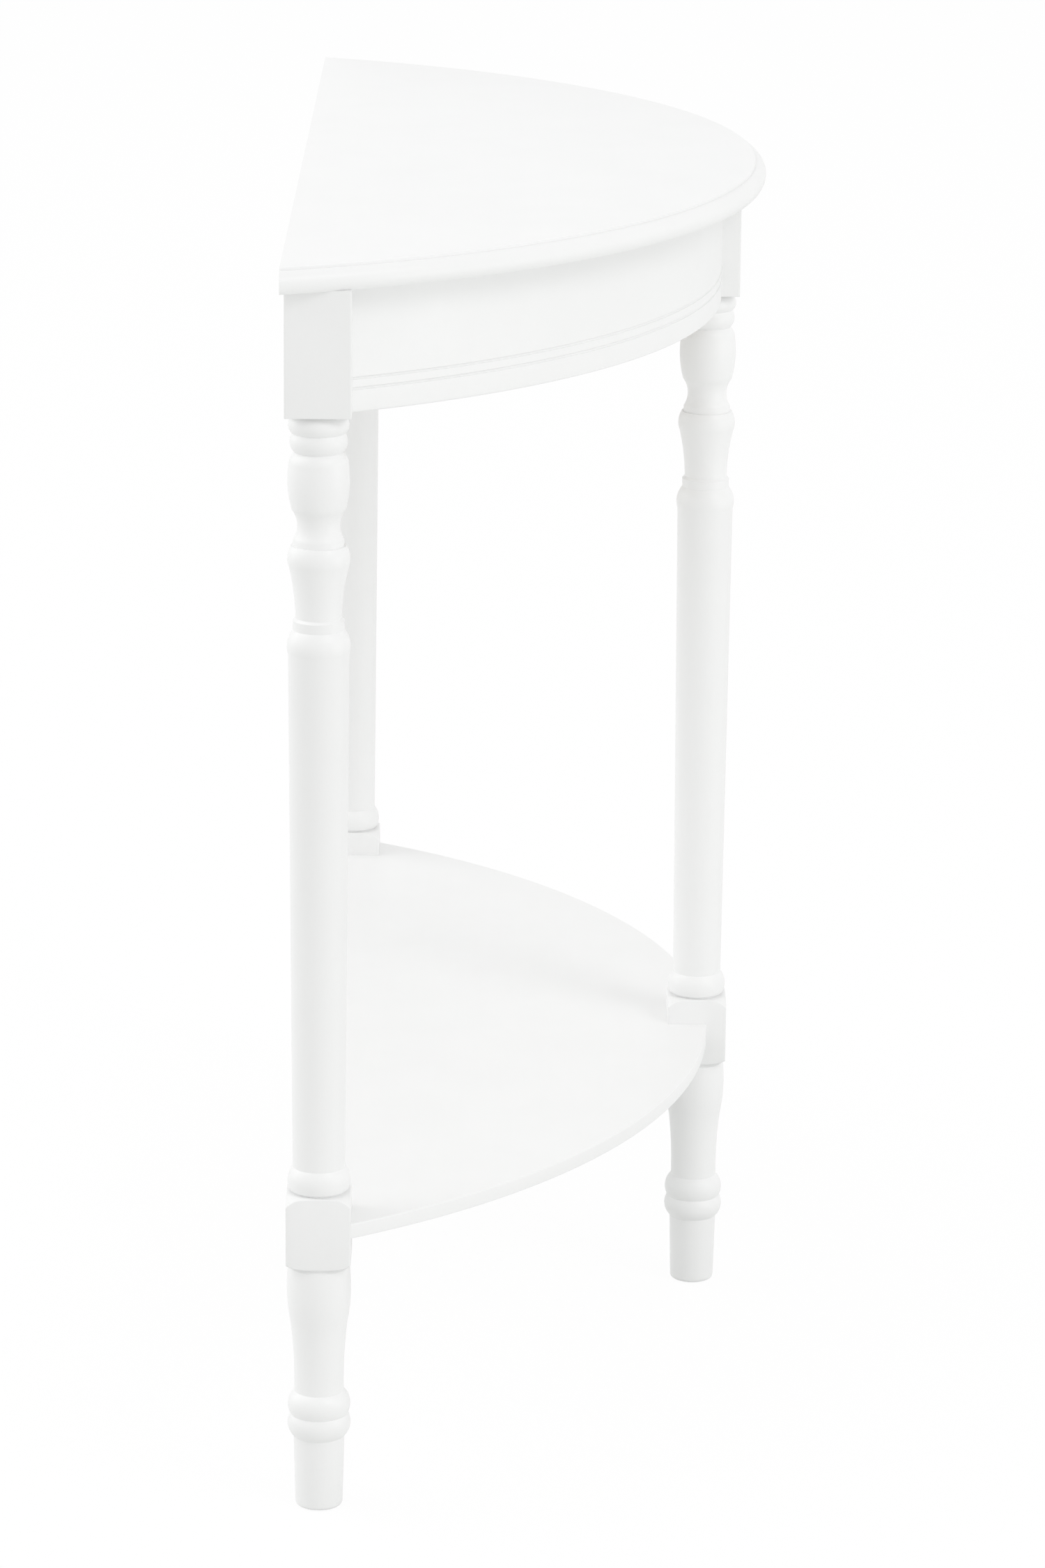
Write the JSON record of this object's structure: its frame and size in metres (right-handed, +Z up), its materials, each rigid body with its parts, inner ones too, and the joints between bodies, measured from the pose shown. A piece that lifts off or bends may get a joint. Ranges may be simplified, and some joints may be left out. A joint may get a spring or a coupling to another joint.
{
  "type": "demilune table",
  "caption": "White half-round hall table on turned legs, with curved grooved aprons, a moulded top edge and a low half-round shelf.",
  "frame": {"origin": "on the floor, under the middle of the top's bounding box", "axes": "+Z up, +X along the straight back edge, +Y towards the wall behind the table, so the round front faces -Y"},
  "size_m": [0.86, 0.29, 0.75],
  "materials": {
    "white_paint": "satin white paint on wood",
    "bare_wood": "planed softwood, unfinished",
    "zinc_steel": "zinc-plated steel",
    "glide_plastic": "pale moulded nylon"
  },
  "bodies": {
    "root": {"top_board": "white_paint", "left_apron": "white_paint", "right_apron": "white_paint", "back_rail": "white_paint", "left_back_leg": "white_paint", "right_back_leg": "white_paint", "front_leg": "white_paint", "shelf_board": "white_paint", "left_corner_block": "bare_wood", "right_corner_block": "bare_wood", "left_front_block": "bare_wood", "right_front_block": "bare_wood", "left_apron_block": "bare_wood", "right_apron_block": "bare_wood", "back_cleat": "bare_wood", "left_apron_dowels": "bare_wood", "right_apron_dowels": "bare_wood", "back_rail_dowels": "bare_wood", "corner_block_screws": "zinc_steel", "rail_screws": "zinc_steel", "top_screws": "zinc_steel", "shelf_pins": "zinc_steel", "left_shelf_bracket": "zinc_steel", "right_shelf_bracket": "zinc_steel", "front_shelf_bracket": "zinc_steel", "shelf_bracket_screws": "zinc_steel", "left_back_glide": "glide_plastic", "right_back_glide": "glide_plastic", "front_glide": "glide_plastic"}
  },
  "joints": []
}
